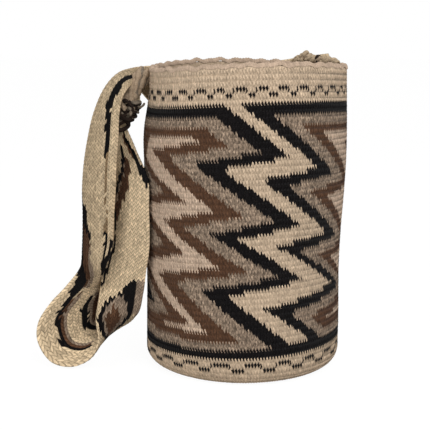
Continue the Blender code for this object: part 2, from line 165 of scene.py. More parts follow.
# Radii of the yarns, and how many sides each has
YARN, TAIL_RADIUS, ROLL_YARN, KNOT_YARN = 0.0017, 0.0011, 0.0024, 0.0021
TUBE_SIDES = 8
LEFT_SPINE = ((-93, 0, 284), (-100, -5, 276), (-107, -9, 267), (-111, -11, 257), (-114, -12, 247))
LEFT_STRANDS = ((5.0, 3.0, "lashing_beige"), (5.4, 2.8, "lashing_beige"), (5.0, 2.4, "lashing_grey"),
                (5.2, 3.0, "lashing_beige"), (5.0, 2.4, "lashing_grey"), (5.2, 2.8, "lashing_beige"),
                (5.0, 2.4, "lashing_beige"), (1.5, 4.5, "lashing_beige"))
LEFT_KNOTS = (((-104, -15, 256), 4.5, "lashing_grey"), ((-108, -17, 253), 4.5, "lashing_dark"),
              ((-112, -18, 255), 4.2, "lashing_dark"), ((-105, -16, 249), 4.2, "lashing_dark"),
              ((-110, -18, 247), 4.5, "lashing_grey"), ((-115, -17, 246), 4.2, "lashing_dark"),
              ((-112, -17, 241), 4.2, "lashing_dark"), ((-117, -14, 242), 3.8, "lashing_grey"),
              ((-115, -12, 252), 4.0, "lashing_dark"))
TAIL = ((-103, -13, 252), (-100, -14, 251), (-97, -14, 252), (-95, -14, 255))
STITCH_ANGLES = (-212, -257)
STITCH_INSET = 0.0035
STITCH_HEIGHT = HEIGHT + 0.0068
ROLL_REACH = (0.0026, 0.0024)
RIGHT_KNOTS = ((0.08, 1.8, "stitch_beige"), (0.15, 3.0, "stitch_beige"), (0.20, 4.6, "stitch_beige"),
               (0.27, 3.2, "stitch_beige"), (0.36, 2.6, "stitch_beige"), (0.46, 2.8, "lashing_dark"),
               (0.56, 2.6, "stitch_beige"), (0.68, 2.4, "stitch_beige"), (0.82, 2.2, "stitch_beige"))
RIGHT_ENVELOPE = ((0.0, 0.30), (0.12, 0.65), (0.22, 1.0), (0.34, 0.70), (0.65, 0.65), (1.0, 0.40))

STRAP_WOOLS = ("strap_cream", "black", "grey", "brown", "strap_crease_painted_shade")
# Wool drawn on the strap, later over earlier, some of it as painted shade: (wool, ((station, place across,
# half width), ...))
STRAP_STROKES = (
    ("black", ((28.6, -0.5, 0.0), (28.0, -0.5, 0.12), (27.0, -0.55, 0.16), (26.0, -0.6, 0.17),
               (25.3, -0.5, 0.16),
              (24.4, -0.55, 0.12), (23.5, -0.6, 0.09), (22.8, -0.62, 0.06))),
    # Painted shade: a darker cream line along the crease in the strap's outer run
    ("strap_crease_painted_shade", ((23.4, -0.62, 0.05), (22.7, -0.66, 0.05), (21.0, -0.70, 0.05), (20.4, -0.70, 0.05))),
    ("black", ((21.4, 0.85, 0.0), (21.2, 0.75, 0.28), (20.8, 0.72, 0.30), (20.4, 0.55, 0.38),
               (20.1, 0.5, 0.40),
              (19.9, 0.5, 0.0))),
    ("grey", ((20.4, 0.45, 0.0), (19.6, 0.3, 0.22), (18.8, 0.2, 0.3), (18.0, 0.25, 0.15))),
    ("brown", ((20.8, 0.85, 0.0), (20.4, 0.72, 0.3), (20.0, 0.6, 0.46), (19.6, 0.62, 0.42), (19.2, 0.6, 0.4),
              (18.8, 0.6, 0.35), (18.0, 0.4, 0.0))),
    ("black", ((21.9, 1.0, 0.0), (21.3, 0.95, 0.2), (20.6, 0.95, 0.15), (19.6, 0.95, 0.12), (19.2, 0.9, 0.15),
              (18.7, 0.72, 0.28), (18.0, 0.62, 0.20), (17.0, 0.5, 0.12), (16.0, 0.42, 0.10),
               (15.0, 0.38, 0.08),
              (14.0, 0.35, 0.06), (12.0, 0.35, 0.06))),
    ("black", ((20.6, -0.70, 0.0), (20.3, -0.70, 0.05), (19.7, -0.75, 0.05), (19.35, -0.76, 0.05),
               (19.15, -0.84, 0.14),
              (18.8, -0.82, 0.20), (18.5, -0.86, 0.18), (18.1, -0.92, 0.14), (17.7, -1.0, 0.0))),
    ("black", ((20.2, -0.97, 0.0), (20.0, -0.97, 0.05), (19.3, -0.97, 0.05), (19.1, -0.97, 0.08))),
    ("brown", ((17.6, 0.26, 0.0), (17.0, 0.30, 0.11), (15.5, 0.23, 0.09), (14.0, 0.25, 0.05),
               (12.0, 0.25, 0.05))),
    ("grey", ((17.4, 0.16, 0.0), (17.0, 0.18, 0.08), (15.5, 0.14, 0.05), (14.0, 0.15, 0.05),
              (12.0, 0.15, 0.05))),
    ("black", ((12.2, -0.6, 0.10), (13.0, -0.6, 0.12), (15.0, -0.5, 0.14), (16.3, -0.5, 0.10),
               (17.3, -0.5, 0.0))),
    ("grey", ((12.0, -0.8, 0.08), (16.3, -0.72, 0.10), (17.0, -0.7, 0.0))),
    ("brown", ((12.0, -0.98, 0.10), (16.5, -0.95, 0.15), (18.0, -0.95, 0.05))),
    ("grey", ((4.4, 0.08, 0.0), (4.6, 0.04, 0.12), (4.9, 0.23, 0.12), (5.1, 0.38, 0.12), (5.4, 0.50, 0.12),
              (5.7, 0.66, 0.12), (6.0, 0.72, 0.0))),
    ("brown", ((4.2, -0.15, 0.0), (4.3, -0.16, 0.12), (4.6, -0.16, 0.16), (4.9, 0.0, 0.17), (5.1, 0.10, 0.20),
              (5.4, 0.22, 0.23), (5.7, 0.42, 0.18), (6.0, 0.56, 0.18), (6.2, 0.62, 0.07), (6.3, 0.64, 0.0))),
    ("black", ((3.6, 0.0, 0.0), (4.0, 0.02, 0.12), (4.3, 0.04, 0.12), (4.6, 0.18, 0.10), (4.9, 0.38, 0.10),
              (5.1, 0.52, 0.10), (5.4, 0.66, 0.10), (5.7, 0.80, 0.10), (6.2, 0.66, 0.07), (6.6, 0.62, 0.05),
              (8.4, 0.90, 0.08))),
    ("brown", ((3.1, -0.20, 0.05), (3.6, -0.46, 0.12), (4.1, -0.66, 0.10), (4.4, -0.75, 0.0))),
    ("black", ((2.9, -0.40, 0.12), (3.3, -0.46, 0.12), (3.6, -0.66, 0.12), (4.0, -0.80, 0.10),
               (4.4, -0.85, 0.10),
              (4.8, -0.88, 0.14), (5.0, -0.92, 0.16), (5.2, -1.0, 0.0))),
    # Painted shadow: grey wool on the strap's right edge beside the big diamond, where the cream band lies in
    # shade
    ("grey", ((8.2, -0.9, 0.1), (8.8, -0.85, 0.25), (9.6, -0.85, 0.25), (10.0, -1.0, 0.0))),
    ("black", ((8.1, -0.55, 0.0), (8.5, -0.50, 0.25), (8.9, -0.3, 0.42), (9.3, 0.05, 0.75), (9.9, 0.12, 0.85),
              (10.6, 0.2, 0.65), (11.4, 0.2, 0.0))),
    ("grey", ((8.9, -0.1, 0.0), (9.3, 0.05, 0.45), (9.9, 0.12, 0.62), (10.6, 0.2, 0.35), (11.0, 0.2, 0.0))),
    ("brown", ((9.3, 0.12, 0.0), (9.9, 0.18, 0.42), (10.5, 0.2, 0.22), (10.8, 0.2, 0.0))),
)

# Wools as they look in even light, in sRGB of 0 to 255, and how flecked each one is
WOOLS = {
    "cream": ((191, 169, 144), 0.13),
    "black": ((14, 12, 13), 0.30),
    "grey": ((137, 119, 102), 0.34),
    "brown": ((83, 58, 42), 0.16),
    "beige": ((186, 163, 142), 0.15),
    "strap_cream": ((200, 178, 146), 0.22),
    # Painted shade for the strap's crease, not a wool
    "strap_crease_painted_shade": ((134, 112, 85), 0.22),
    "lashing_dark": ((42, 32, 27), 0.40),
    "lashing_grey": ((122, 110, 96), 0.40),
    "lashing_beige": ((158, 138, 116), 0.25),
    "stitch_beige": ((176, 156, 130), 0.25),
}
BAND_WOOLS = ("cream", "black", "grey", "brown", "beige")
STITCH_SHADE = 0.07
# Each material's name, haze and bump, and the colour of the haze of loose fibres
MATERIALS = (("bag_wool", 0.10, 0.35), ("strap_wool", 0.08, 0.30), ("lashing_wool", 0.14, 0.45))
HAZE = (0.36, 0.29, 0.22, 1)

# Studio: sky, floor, and each lamp's name, place, size and power
SKY_STRENGTH = 0.62
FLOOR_REACH = 6.0
FLOOR_GAP = 0.0004
FLOOR_COLOUR = (0.80, 0.80, 0.80, 1)
FLOOR_GLOW, FLOOR_GLOW_SHARE = 1.05, 0.90
LAMPS = (("key", (0.55, -1.30, 1.25), 1.1, 17), ("fill", (-1.30, -0.90, 0.80), 1.0, 5))
LAMP_TARGET = (0, 0, 0.14)
# Camera: place, degrees down, and the picture's size, focal length and sideways shift in pixels
CAMERA_PLACE = (0, -1.16, 0.353)
CAMERA_TILT = 10.2
SENSOR = 36
PICTURE_PIXELS, FOCAL_PIXELS, CAMERA_SHIFT_PIXELS = 430, 1205, 29.5

rng = np.random.default_rng(5)


def linear(colour):
    """Linear light of an sRGB colour of 0 to 255."""
    share = np.asarray(colour, float) / 255
    return np.where(share <= 0.04045, share / 12.92, ((share + 0.055) / 1.055) ** 2.4)


WOOL_COLOURS = {name: linear(colour) for name, (colour, _) in WOOLS.items()}
WOOL_FLECKS = {name: fleck for name, (_, fleck) in WOOLS.items()}


def wool_arrays(names):
    """Colours and flecks of an array of wools, as indexes into the list of names."""
    return (np.array([WOOL_COLOURS[name] for name in names]), np.array([WOOL_FLECKS[name] for name in names]))


def side_radius(side, z):
    """The radius at a height on one side of the bag, its corners rounded off."""
    places, radii = np.array(side).T
    steps = np.linspace(-SIDE_BLEND, SIDE_BLEND, BLEND_SAMPLES)
    return sum(np.interp(z + step, places, radii) for step in steps) / BLEND_SAMPLES


def wall_radius(angle, z):
    """The outer radius at an angle from the front and a height."""
    left, right = side_radius(LEFT_SIDE, z), side_radius(RIGHT_SIDE, z)
    return (left + right) / 2 + (right - left) / 2 * np.sin(angle)


def lean(angle, z):
    """How far a place on the wall stands above or below its level round, at the rim and near the base."""
    once, twice, turn = RIM_LEAN
    at_rim = twice * np.cos(2 * (angle - turn)) + once * np.cos(angle - turn)
    at_base = BASE_LEAN[0] * np.cos(angle - BASE_LEAN[1])
    share = np.clip(z / HEIGHT, 0, 1)
    fade = np.clip((z - BASE_CORNER / 2) / (2 * BASE_CORNER), 0, 1)
    return share * at_rim + (1 - share) * at_base * fade


def steps_from(zigzag, step, angle, height):
    """How many band widths a place lies from a zigzag, counted along the bands' common shift."""
    side = angle * step[1] - height * step[0]
    along, place = np.array(sorted((a * step[1] - h * step[0], a) for a, h in zigzag)).T
    inside = np.interp(side, along, place)
    before = place[0] + (place[1] - place[0]) * (side - along[0]) / (along[1] - along[0])
    after = place[-1] + (place[-1] - place[-2]) * (side - along[-1]) / (along[-1] - along[-2])
    level = np.where(side < along[0], before, np.where(side > along[-1], after, inside))
    return (angle - level) / step[0]


def band_at(angle, height):
    """The wool at a place on the wall, in degrees and mm: cream outside the cells, nested bands inside."""
    depth = np.full(np.broadcast(angle, height).shape, -1.0)
    for left_zigzag, left_step, left_turn, right_turn in CELLS:
        for turn in (-360, 0, 360):
            here = angle + turn
            level = np.minimum(steps_from(left_zigzag, left_step, here - left_turn, height),
                               steps_from(LEFT_ZIGZAG, LEFT_STEP, here - right_turn, height))
            down, up = PATTERN_TOP - height, height - PATTERN_BOTTOM
            black = np.interp((angle + 180) % 360 - 180, *np.array(BOTTOM_BLACK).T)
            level = np.minimum(level, np.where(down < TOP_BLACK, down / TOP_BLACK,
                                               1 + (down - TOP_BLACK) / TOP_BAND))
            level = np.minimum(level, np.where(up < black, up / black, 1 + (up - black) / BOTTOM_BAND))
            depth = np.maximum(depth, level)
    return np.where(depth <= 0, CREAM, np.clip(depth.astype(int) + 1, BLACK, BEIGE))


def stitch_pattern(heights):
    """The wool of each stitch: an array of rounds by stitches."""
    turn = 360 / STITCHES
    tooth = np.where(np.arange(WALL_ROUNDS) % 2 == 0, 0.0, ROUND_STAGGER)
    angles = (np.arange(STITCHES)[None, :] + 0.5) * turn - 180
    return band_at(angles + tooth[:, None] * turn, heights[:, None] * 1000)


def line_stitches(heights):
    """Which round each of the two scalloped lines runs through at each stitch."""
    lines = []
    for level, scallops, standing in LINES:
        upper = int(np.argmin(abs(heights - level)))
        line = np.full(STITCHES, upper)
        slope = LINE_SLOPE / STITCHES * scallops
        for stitch in range(STITCHES):
            place = stitch * scallops / STITCHES % 1
            if place < standing:
                drop = 0
            elif place - standing < slope or 1 - place < slope:
                drop = 1
            else:
                drop = 2
            line[stitch] -= drop
        lines.append(line)
    return lines


def grid_faces(rows, columns, closed):
    """Quads of a grid of points, rows by columns, whose columns may close into a ring."""
    last = columns if closed else columns - 1
    row, column = np.meshgrid(np.arange(rows - 1), np.arange(last), indexing="ij")
    after = (column + 1) % columns
    corners = (row * columns + column, row * columns + after, (row + 1) * columns + after,
               (row + 1) * columns + column)
    return np.stack([corner.ravel() for corner in corners], axis=1)


def add_piece(name, points, faces, colours, flecks, material):
    """A mesh whose faces carry their colour (their wool's, with any painted shade) and fleck."""
    points, faces = np.asarray(points, float).reshape(-1, 3), np.asarray(faces)
    mesh = bpy.data.meshes.new(name)
    mesh.vertices.add(len(points))
    mesh.vertices.foreach_set("co", points.ravel())
    mesh.loops.add(faces.size)
    mesh.loops.foreach_set("vertex_index", faces.ravel().astype(np.int32))
    mesh.polygons.add(len(faces))
    mesh.polygons.foreach_set("loop_start", np.arange(0, faces.size, 4, dtype=np.int32))
    mesh.update(calc_edges=True)
    mesh.validate()
    wool = mesh.color_attributes.new("wool", "FLOAT_COLOR", "CORNER")
    corner_colours = np.ones((len(faces), 4, 4))
    corner_colours[:, :, :3] = np.clip(colours, 0, 1)[:, None, :]
    wool.data.foreach_set("color", corner_colours.ravel())
    fleck = mesh.attributes.new("fleck", "FLOAT", "FACE")
    fleck.data.foreach_set("value", np.asarray(flecks, np.float32).ravel())
    mesh.polygons.foreach_set("use_smooth", np.ones(len(faces), bool))
    mesh.materials.append(material)
    piece = bpy.data.objects.new(name, mesh)
    bpy.context.scene.collection.objects.link(piece)
    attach(piece, "root")
    return piece


def wool_material(name, fuzz, bump):
    """Wool yarn: its colour from the stitches, flecked and hazed by noise, with a rough fibrous surface."""
    material = bpy.data.materials.new(name)
    material.use_nodes = True
    nodes, links = material.node_tree.nodes, material.node_tree.links
    shader = nodes["Principled BSDF"]
    shader.inputs["Roughness"].default_value = 0.95
    shader.inputs["Specular IOR Level"].default_value = 0.05
    shader.inputs["Sheen Weight"].default_value = 0.03
    shader.inputs["Sheen Roughness"].default_value = 0.6
    place = nodes.new("ShaderNodeTexCoord")
    wool = nodes.new("ShaderNodeAttribute")
    wool.attribute_name = "wool"
    fleck = nodes.new("ShaderNodeAttribute")
    fleck.attribute_name = "fleck"

    def noise(scale, detail):
        texture = nodes.new("ShaderNodeTexNoise")
        texture.inputs["Scale"].default_value = scale
        texture.inputs["Detail"].default_value = detail
        links.new(place.outputs["Object"], texture.inputs["Vector"])
        return texture.outputs["Fac"]

    def ranged(value, low, high, to_low, to_high):
        step = nodes.new("ShaderNodeMapRange")
        links.new(value, step.inputs["Value"])
        for socket, number in (("From Min", low), ("From Max", high), ("To Min", to_low),
                               ("To Max", to_high)):
            step.inputs[socket].default_value = number
        return step.outputs["Result"]

    def maths(operation, first, second):
        step = nodes.new("ShaderNodeMath")
        step.operation = operation
        for socket, value in zip(step.inputs, (first, second)):
            if isinstance(value, (int, float)):
                socket.default_value = value
            else:
                links.new(value, socket)
        return step.outputs["Value"]

    fine, coarse, patch = noise(1150, 3.0), noise(420, 2.0), noise(26, 3.0)
    swing = maths("MULTIPLY", ranged(fine, 0.3, 0.7, -1.0, 1.0), fleck.outputs["Fac"])
    swing = maths("ADD", swing, maths("MULTIPLY", ranged(coarse, 0.3, 0.7, -0.35, 0.35),
                                      fleck.outputs["Fac"]))
    swing = maths("ADD", swing, ranged(patch, 0.3, 0.7, 0.97, 1.03))
    tinted = nodes.new("ShaderNodeVectorMath")
    tinted.operation = "SCALE"
    links.new(wool.outputs["Color"], tinted.inputs[0])
    links.new(swing, tinted.inputs["Scale"])
    haze = nodes.new("ShaderNodeMix")
    haze.data_type = "RGBA"
    haze.inputs["B"].default_value = HAZE
    links.new(ranged(noise(2100, 2.0), 0.60, 0.75, 0.0, fuzz), haze.inputs["Factor"])
    links.new(tinted.outputs["Vector"], haze.inputs["A"])
    links.new(haze.outputs["Result"], shader.inputs["Base Color"])
    raised = nodes.new("ShaderNodeBump")
    raised.inputs["Strength"].default_value = bump
    raised.inputs["Distance"].default_value = 0.0006
    links.new(maths("ADD", fine, noise(2600, 2.0)), raised.inputs["Height"])
    links.new(raised.outputs["Normal"], shader.inputs["Normal"])
    return material


def shaded(base, count):
    """Small differences in lightness from stitch to stitch."""
    return base * (1 + rng.normal(0, STITCH_SHADE, count))[:, None]


def wall_point(angle, along, outward, inside=0.0):
    """Points at a length along the outer profile from the base, moved outward, or inward by a depth."""
    turn = np.clip(along / BASE_CORNER, 0, math.pi / 2)
    z = np.where(along < CORNER_LENGTH, BASE_CORNER * (1 - np.cos(turn)), BASE_CORNER + along - CORNER_LENGTH)
    radius = wall_radius(angle, np.maximum(z, BASE_CORNER)) - BASE_CORNER * (1 - np.sin(turn))
    radius = radius + (outward - inside) * np.sin(turn)
    height = z + lean(angle, z) - (outward - inside) * np.cos(turn)
    return np.stack([radius * np.sin(angle), -radius * np.cos(angle), height], axis=-1)


def pattern_heights():
    """The height of each round's middle on the outer profile."""
    middle = (np.arange(WALL_ROUNDS) + 0.5) * WALL_LENGTH / WALL_ROUNDS
    turn = np.minimum(middle / BASE_CORNER, math.pi / 2)
    return np.where(middle < CORNER_LENGTH, BASE_CORNER * (1 - np.cos(turn)),
                    BASE_CORNER + middle - CORNER_LENGTH)


def make_wall(material):
    """The outer wall, stitch by stitch, in three rings."""
    length, rounds = WALL_LENGTH, WALL_ROUNDS
    heights = pattern_heights()
    wools = stitch_pattern(heights)
    columns, lines = 4 * STITCHES, 2 * rounds + 1
    stitch = np.arange(columns) // 4
    part = np.arange(columns) % 4
    line = np.arange(lines)
    stagger = np.where(line % 2 == 0, 0.5, (line // 2 % 2).astype(float)) * ROUND_STAGGER
    turn = stitch[None, :] + np.array(COLUMN_PLACES)[part][None, :] + stagger[:, None]
    angle = np.radians(turn * 360 / STITCHES - 180)
    fade = np.clip(np.minimum(line, lines - 1 - line) / 3, 0, 1)
    along = line[:, None] * length / (lines - 1)
    along = along + fade[:, None] * np.array(COLUMN_SLANT)[part] * length / rounds
    uneven = rng.normal(0, 1, (lines // 2 + 1, STITCHES))
    wobble = np.repeat(np.repeat(uneven, 2, axis=0)[:lines], 4, axis=1)
    outward = np.array(COLUMN_RELIEF)[part][None, :] + np.array(ROUND_RELIEF)[line % 2][:, None]
    outward = outward * fade[:, None] + WALL_UNEVEN * wobble * (part == 2)
    slow = WALL_SWELL * np.sin(3 * angle + 1.3) * np.sin(line * 0.031 + 0.6)[:, None]
    points = wall_point(angle, along, outward + slow * fade[:, None])
    palette, fleck = wool_arrays(BAND_WOOLS)
    count = rounds * STITCHES
    colours = shaded(palette[wools.ravel()], count).reshape(rounds, STITCHES, 3)
    flecks = fleck[wools]
    marked = np.zeros((2 * rounds, columns), bool)
    for line_rounds in line_stitches(heights):
        rows = 2 * np.repeat(line_rounds, 4)
        for step in (0, 1):
            marked[rows + step, np.arange(columns)] = np.isin(part, LINE_PARTS)
        marked[rows - 1, np.arange(columns)] = True
    cuts = (0, rounds // 3, 2 * rounds // 3, rounds)
    for name, first, last in zip(("wall_lower", "wall_middle", "wall_upper"), cuts, cuts[1:]):
        ring = points[2 * first:2 * last + 1]
        faces = grid_faces(len(ring), columns, True)
        shade = np.repeat(np.repeat(colours[first:last], 2, axis=0), 4, axis=1)
        spot = np.repeat(np.repeat(flecks[first:last], 2, axis=0), 4, axis=1)
        # Between two stitches the round below stands up
        below = np.maximum(np.arange(first, last) - 1, 0)
        shade[::2, ::4], spot[::2, ::4] = colours[below], flecks[below]
        line_faces = marked[2 * first:2 * last]
        shade[line_faces], spot[line_faces] = WOOL_COLOURS["black"], WOOL_FLECKS["black"]
        # Painted shade: the groove between stitches darker, the lower half of each round darker and the upper
        # half lighter
        shade = shade * np.tile(COLUMN_PAINTED_SHADE, STITCHES)[None, :, None]
        shade = shade * np.tile(ROUND_PAINTED_SHADE, last - first)[:, None, None]
        shade, spot = shade.reshape(-1, 3), spot.ravel()
        shade = shade * (1 + WALL_SPECKLE * spot * rng.normal(0, 1, len(spot)).clip(-1.1, 2.0))[:, None]
        piece = add_piece(name, ring, faces, shade, spot, material)
        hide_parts("body")


def make_inside(material):
    """The inner wall and floor, where the pattern shows through."""
    length, rounds = WALL_LENGTH, WALL_ROUNDS
    wools = stitch_pattern(pattern_heights())
    columns = 2 * STITCHES
    angle = np.radians((np.arange(columns) + 1) * 360 / columns - 180)
    part = np.arange(columns) % 2
    along = np.linspace(length, CORNER_LENGTH * 0.25, rounds + 1)
    line = np.arange(len(along))
    ribs, rings = INSIDE_RELIEF
    relief = np.where(part == 0, -ribs, ribs)[None, :] + np.where(line % 2 == 0, -rings, rings)[:, None]
    points = wall_point(angle[None, :], along[:, None], -relief, WALL)
    wall_faces = grid_faces(len(along), columns, True)
    nearest = np.clip((along[:-1] / length * rounds).astype(int), 0, rounds - 1)
    palette, fleck = wool_arrays(BAND_WOOLS)
    rows = wools[nearest]
    stitches = (np.arange(columns) // 2 + np.arange(columns) % 2) % STITCHES
    wall_wools = rows[:, stitches].ravel()
    floor_radius = np.linspace(1, 0.02, INSIDE_FLOOR_RINGS)
    edge = points[-1]
    floor = edge[None] * floor_radius[:, None, None] * np.array([1, 1, 0])
    floor[:, :, 2] = FLOOR + (edge[None, :, 2] - FLOOR) * (floor_radius[:, None] ** 8)
    floor[:, :, 2] += np.where(np.arange(INSIDE_FLOOR_RINGS) % 2 == 0, ribs, -ribs)[:, None]
    floor_faces = grid_faces(INSIDE_FLOOR_RINGS, columns, True) + len(points.reshape(-1, 3))
    all_points = np.concatenate([points.reshape(-1, 3), floor.reshape(-1, 3)])
    faces = np.concatenate([wall_faces, floor_faces])
    wools_all = np.concatenate([wall_wools, np.full(len(floor_faces), CREAM)])
    colours = shaded(palette[wools_all], len(wools_all))
    piece = add_piece("bag_inside", all_points, faces, colours, fleck[wools_all], material)
    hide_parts("body")


def make_rim(material):
    """The last round: a chain of slanted stitches over the top of the wall."""
    columns, across = 4 * STITCHES, RIM_RINGS
    angle = np.radians(np.arange(columns) * 360 / columns - 180)
    turn = np.linspace(-RIM_OVERLAP, math.pi + RIM_OVERLAP, across)
    phase = (np.arange(columns) / 4)[:, None] + np.linspace(0, RIM_SLANT, across)[None, :]
    bead = np.abs(np.cos(math.pi * phase))
    size = WALL / 2 + RIM_BEAD[0] + RIM_BEAD[1] * bead
    middle = wall_radius(angle, HEIGHT) - WALL / 2
    radius = middle[:, None] + size * np.cos(turn)
    bumps = RIM_BUMPS[0] * np.sin(23 * angle + 0.7) * np.sin(3 * angle + 0.4)
    bumps = bumps + RIM_BUMPS[1] * np.sin(41 * angle)
    base = WALL_TOP + lean(angle, HEIGHT) + bumps
    height = base[:, None] + (size + 0.0006) * np.sin(turn)
    points = np.stack([radius * np.sin(angle)[:, None], -radius * np.cos(angle)[:, None], height], axis=-1)
    points = points.transpose(1, 0, 2)
    faces = grid_faces(across, columns, True)
    shade = shaded(np.tile(WOOL_COLOURS["beige"] * 0.92, (STITCHES, 1)), STITCHES)
    colours = np.tile(np.repeat(shade, 4, axis=0), (across - 1, 1))
    flecks = np.full(len(faces), 0.22)
    piece = add_piece("bag_rim", points, faces, colours, flecks, material)
    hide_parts("body")


def make_base(material):
    """The underside: rounds of stitches out from its middle."""
    columns, rounds = STITCHES, BASE_ROUNDS
    angle = np.radians(np.arange(columns) * 360 / columns - 180)
    share = np.linspace(0.01, 1, 2 * rounds + 1)
    edge = wall_radius(angle, np.full(columns, BASE_CORNER)) - BASE_CORNER
    radius = edge[None, :] * share[:, None]
    line = np.arange(len(share))
    swirl = angle[None, :] + BASE_SWIRL * line[:, None]
    relief = np.where(line % 2 == 0, BASE_RELIEF[0], 0.0)[:, None]
    relief = relief + BASE_RELIEF[1] * (np.arange(columns) % 3 == 0)[None, :]
    relief = relief * np.where(line == line[-1], 0.0, 1.0)[:, None]
    points = np.stack([radius * np.sin(swirl), -radius * np.cos(swirl), relief], axis=-1)
    points[-1] = wall_point(angle, np.zeros(columns), np.zeros(columns))
    faces = grid_faces(len(points), columns, True)
    count = len(faces)
    colours = shaded(np.tile(WOOL_COLOURS["cream"], (count, 1)), count)
    piece = add_piece("bag_base", points, faces, colours, np.full(count, 0.12), material)
    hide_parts("body")


def curve_through(values, t):
    """Catmull-Rom value at t from 0 to len(values) - 1, for numbers or vectors."""
    i = min(int(t), len(values) - 2)
    f = t - i
    p1, p2 = values[i], values[i + 1]
    p0 = values[i - 1] if i > 0 else p1 * 2 - p2
    p3 = values[i + 2] if i + 2 < len(values) else p2 * 2 - p1
    return (p1 * 2 + (p2 - p0) * f + (p0 * 2 - p1 * 5 + p2 * 4 - p3) * f * f
            + (p1 * 3 - p0 - p2 * 3 + p3) * f * f * f) * 0.5


def strap_frames():
    """Arrays along the strap: length so far, station, left edge, right edge, normal, bulge and thickness."""
    stations = [np.array([*a, *b, bulge, thick], float) / 1000 for a, b, bulge, thick in FREE_RUN]
    for angle, middle, half in BACK_RUN:
        row = []
        for z in ((middle + half) / 1000, (middle - half) / 1000):
            turn = math.radians(angle)
            radius = float(wall_radius(turn, z)) + STRAP_CLEARANCE
            row += [radius * math.sin(turn), -radius * math.cos(turn), z]
        stations.append(np.array([*row, 0.0006, STRAP_THICKNESS]))
    fine = np.linspace(0, len(stations) - 1, 3600)
    values = np.array([curve_through(stations, t) for t in fine])
    middle = (values[:, 0:3] + values[:, 3:6]) / 2
    length = np.concatenate([[0], np.cumsum(np.linalg.norm(np.diff(middle, axis=0), axis=1))])
    even = np.linspace(0, length[-1], 1500)
    station = np.interp(even, length, fine)
    values = np.stack([np.interp(even, length, values[:, i]) for i in range(8)], axis=1)
    middle, half = (values[:, 0:3] + values[:, 3:6]) / 2, (values[:, 0:3] - values[:, 3:6]) / 2
    along = np.gradient(middle, axis=0)
    normal = np.cross(along, half)
    normal /= np.linalg.norm(normal, axis=1)[:, None]
    return even, station, middle, half, normal, values[:, 6], values[:, 7]


def at_length(frames, length):
    """The strap's frames at an array of lengths."""
    even = frames[0]
    picked = []
    for values in frames[1:]:
        if values.ndim == 1:
            picked.append(np.interp(length, even, values))
        else:
            picked.append(np.stack([np.interp(length, even, values[:, i]) for i in range(3)], axis=-1))
    return picked


def strap_wools(station, across):
    """The wools, and the painted shade of the crease, at places on the strap, as indexes into STRAP_WOOLS."""
    wools = np.zeros(station.shape, int)
    for name, places in STRAP_STROKES:
        t, middle, half = np.array(sorted(places)).T
        inside = (station >= t[0]) & (station <= t[-1])
        near = np.abs(across - np.interp(station, t, middle)) < np.interp(station, t, half)
        wools[inside & near] = STRAP_WOOLS.index(name)
    return wools


